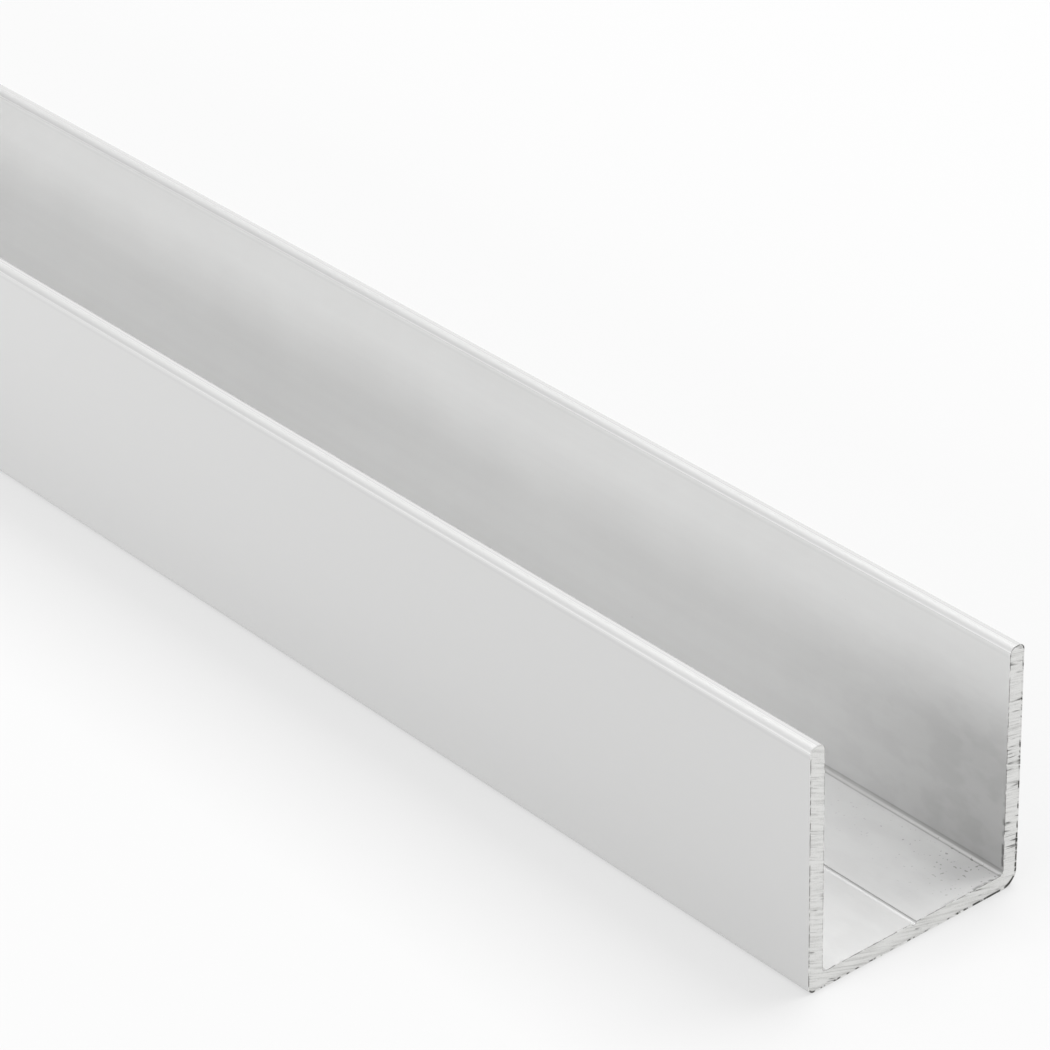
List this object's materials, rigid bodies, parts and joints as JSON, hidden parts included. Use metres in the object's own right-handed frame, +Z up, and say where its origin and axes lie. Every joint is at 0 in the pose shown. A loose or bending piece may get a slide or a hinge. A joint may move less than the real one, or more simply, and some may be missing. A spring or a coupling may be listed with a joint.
{
  "type": "aluminium u-channel profile",
  "caption": "Equal-leg aluminium U-channel cut square at both ends, with rounded leg tips, filleted inside corners and a fine round-bottomed groove along the inside of the web.",
  "frame": {"origin": "centre of the underside of the web, at mid length", "axes": "+X along the length, +Y across from the near leg to the far leg, +Z up out of the open side"},
  "size_m": [1, 0.03, 0.03],
  "materials": {
    "aluminium": "satin, as extruded, with sawn ends"
  },
  "bodies": {
    "root": {"u_channel": "aluminium"}
  },
  "joints": []
}
